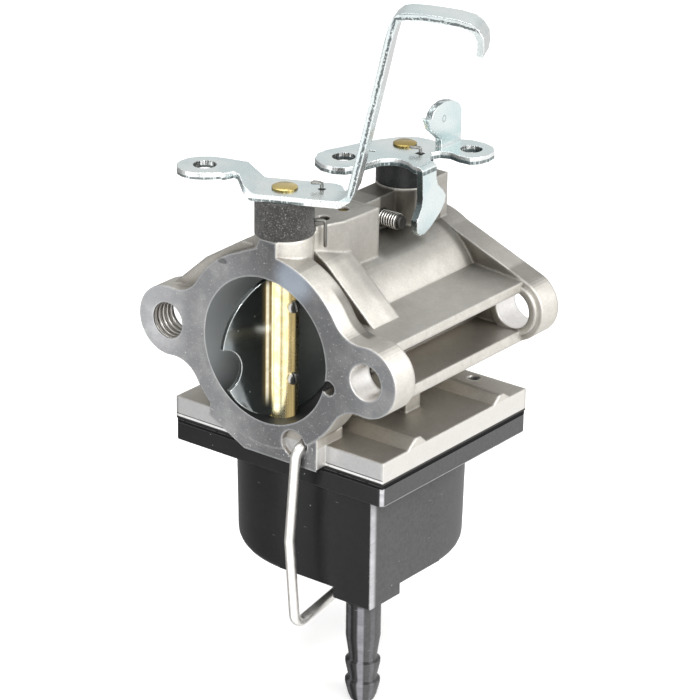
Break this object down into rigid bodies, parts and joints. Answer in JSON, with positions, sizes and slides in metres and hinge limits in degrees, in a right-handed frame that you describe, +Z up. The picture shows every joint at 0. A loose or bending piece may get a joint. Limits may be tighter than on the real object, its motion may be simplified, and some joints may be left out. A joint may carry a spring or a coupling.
{
  "type": "carburetor",
  "caption": "Small-engine float carburetor with choke and throttle levers, black float bowl held by a wire bail, fuel barb and two-bolt flanges at both ends.",
  "frame": {"origin": "centre of the intake bore on the machined intake face", "axes": "+Y with the air flow towards the engine, +X to the right looking into the intake, +Z up, towards the levers"},
  "size_m": [0.0736, 0.0675, 0.1524],
  "materials": {
    "cast_alloy": "blasted casting",
    "brass": "turned",
    "steel": "turned",
    "polished_steel": "polished",
    "zinc_plate": "bright zinc plate",
    "felt": "speckled felt",
    "dark_felt": "dark felt",
    "spring_wire": "drawn wire",
    "bail_steel": "bright drawn wire",
    "gasket_rubber": "moulded",
    "bowl_plastic": "semi-matte moulded",
    "float_plastic": "moulded foam"
  },
  "bodies": {
    "root": {"carburetor_body": "cast_alloy", "choke_seal": "felt", "throttle_seal": "dark_felt", "choke_spring": "spring_wire", "throttle_spring": "spring_wire", "idle_screw_spring": "spring_wire", "bowl_gasket": "gasket_rubber", "float_bowl": "bowl_plastic", "fuel_port_seal": "gasket_rubber", "float_hinge_pin": "steel", "inlet_seat": "brass", "main_nozzle": "brass", "main_jet": "brass", "idle_jet": "brass", "idle_passage_plug": "steel"},
    "choke": {"choke_shaft": "brass", "choke_plate": "polished_steel", "choke_plate_screw_upper": "steel", "choke_plate_screw_lower": "steel", "choke_lever": "zinc_plate"},
    "throttle": {"throttle_shaft": "brass", "throttle_plate": "polished_steel", "throttle_plate_screw": "steel", "throttle_lever": "zinc_plate"},
    "idle_screw": {"idle_speed_screw": "steel"},
    "float": {"bowl_float": "float_plastic"},
    "needle": {"inlet_needle": "steel"},
    "bail": {"bail_wire": "bail_steel"}
  },
  "joints": [
    {"name": "choke_turn", "type": "hinge", "parent": "root", "child": "choke", "pos_m": [0, 0.0063, 0], "axis": [0, 0, 1], "range_deg": [-75, 0], "deforming": ["choke_spring"]},
    {"name": "throttle_turn", "type": "hinge", "parent": "root", "child": "throttle", "pos_m": [0, 0.047, 0], "axis": [0, 0, 1], "range_deg": [-14, 60], "deforming": ["throttle_spring"]},
    {"name": "idle_screw_turn", "type": "hinge", "parent": "root", "child": "idle_screw", "pos_m": [0, 0.037, 0.0192], "axis": [1, 0, 0], "range_deg": [-360, 360]},
    {"name": "float_pivot", "type": "hinge", "parent": "root", "child": "float", "pos_m": [0, 0.01, -0.0272], "axis": [1, 0, 0], "range_deg": [-7, 0]},
    {"name": "needle_slide", "type": "slide", "parent": "root", "child": "needle", "axis": [0, 0, 1], "range_m": [-0.0006, 0]},
    {"name": "bail_swing", "type": "hinge", "parent": "root", "child": "bail", "pos_m": [0.0095, 0.028, -0.0189], "axis": [0, 1, 0], "range_deg": [-6, 12]}
  ],
  "couplings": [
    {"joint": "needle_slide", "follows": "float_pivot", "m_per_rad": 0.0045}
  ]
}
